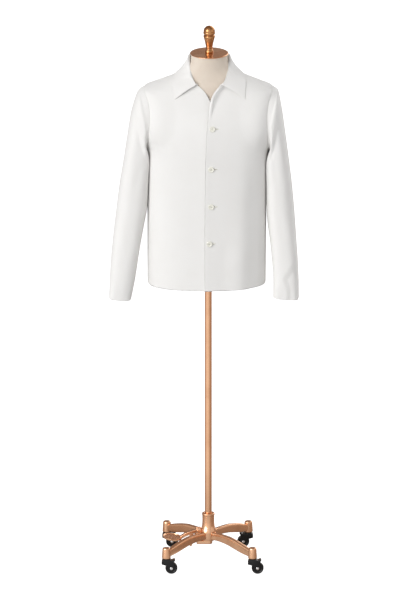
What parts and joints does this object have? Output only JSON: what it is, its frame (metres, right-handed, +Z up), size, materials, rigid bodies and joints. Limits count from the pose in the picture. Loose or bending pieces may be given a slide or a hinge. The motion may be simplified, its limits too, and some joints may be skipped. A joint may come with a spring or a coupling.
{
  "type": "short blazer on a limbless dress form with a wheeled stand",
  "caption": "Short button-front blazer with a pointed collar, worn by a linen-covered limbless dress form on a pole with arched legs, casters and a foot pedal.",
  "frame": {"origin": "on the floor, at the centre of the outline seen from above", "axes": "+Z up, the jacket's front faces -Y, +X towards the wearer's left"},
  "size_m": [0.597, 0.3157, 1.7558],
  "materials": {
    "cloth": "plain off-white woven suiting, matt",
    "button": "cream, softly polished",
    "linen": "natural linen cover, matt",
    "rose_brass": "rose gold plating, satin to polished",
    "caster": "black moulded nylon, satin",
    "tyre": "black, matt"
  },
  "bodies": {
    "stand": {"pole": "rose_brass", "hub": "rose_brass", "underside_plate": "rose_brass", "pedal_bracket": "rose_brass", "leg_front_left": "rose_brass", "leg_front_right": "rose_brass", "leg_back_left": "rose_brass", "leg_back_right": "rose_brass"},
    "dressed_form": {"form": "linen", "neck_cap": "rose_brass", "finial": "rose_brass", "front_left": "cloth", "front_right": "cloth", "back": "cloth", "collar": "cloth", "sleeve_left": "cloth", "sleeve_right": "cloth", "button_1": "button", "button_2": "button", "button_3": "button", "button_4": "button"},
    "pedal": {"pedal": "rose_brass"},
    "caster_front_left": {"swivel_front_left": "caster"},
    "rolling_front_left": {"wheel_front_left": "tyre"},
    "caster_front_right": {"swivel_front_right": "caster"},
    "rolling_front_right": {"wheel_front_right": "tyre"},
    "caster_back_left": {"swivel_back_left": "caster"},
    "rolling_back_left": {"wheel_back_left": "tyre"},
    "caster_back_right": {"swivel_back_right": "caster"},
    "rolling_back_right": {"wheel_back_right": "tyre"}
  },
  "joints": [
    {"name": "form_height", "type": "slide", "parent": "stand", "child": "dressed_form", "axis": [0, 0, 1], "range_m": [-0.15, 0.15]},
    {"name": "pedal_hinge", "type": "hinge", "parent": "stand", "child": "pedal", "pos_m": [-0.0175, 0, 0.1], "axis": [0, 1, 0], "range_deg": [-12, 0], "stiffness_Nm_per_rad": 2, "springref_deg": 8.59},
    {"name": "caster_turn_front_left", "type": "hinge", "parent": "stand", "child": "caster_front_left", "pos_m": [0.1525, -0.144, 0.0497], "axis": [0, 0, 1], "continuous": true},
    {"name": "wheel_roll_front_left", "type": "hinge", "parent": "caster_front_left", "child": "rolling_front_left", "pos_m": [0.1685, -0.144, 0.019], "axis": [0, 1, 0], "continuous": true},
    {"name": "caster_turn_front_right", "type": "hinge", "parent": "stand", "child": "caster_front_right", "pos_m": [-0.1185, -0.144, 0.0497], "axis": [0, 0, 1], "continuous": true},
    {"name": "wheel_roll_front_right", "type": "hinge", "parent": "caster_front_right", "child": "rolling_front_right", "pos_m": [-0.1025, -0.144, 0.019], "axis": [0, 1, 0], "continuous": true},
    {"name": "caster_turn_back_left", "type": "hinge", "parent": "stand", "child": "caster_back_left", "pos_m": [0.1395, 0.144, 0.0497], "axis": [0, 0, 1], "continuous": true},
    {"name": "wheel_roll_back_left", "type": "hinge", "parent": "caster_back_left", "child": "rolling_back_left", "pos_m": [0.1235, 0.144, 0.019], "axis": [0, 1, 0], "continuous": true},
    {"name": "caster_turn_back_right", "type": "hinge", "parent": "stand", "child": "caster_back_right", "pos_m": [-0.1165, 0.144, 0.0497], "axis": [0, 0, 1], "continuous": true},
    {"name": "wheel_roll_back_right", "type": "hinge", "parent": "caster_back_right", "child": "rolling_back_right", "pos_m": [-0.1005, 0.144, 0.019], "axis": [0, 1, 0], "continuous": true}
  ]
}
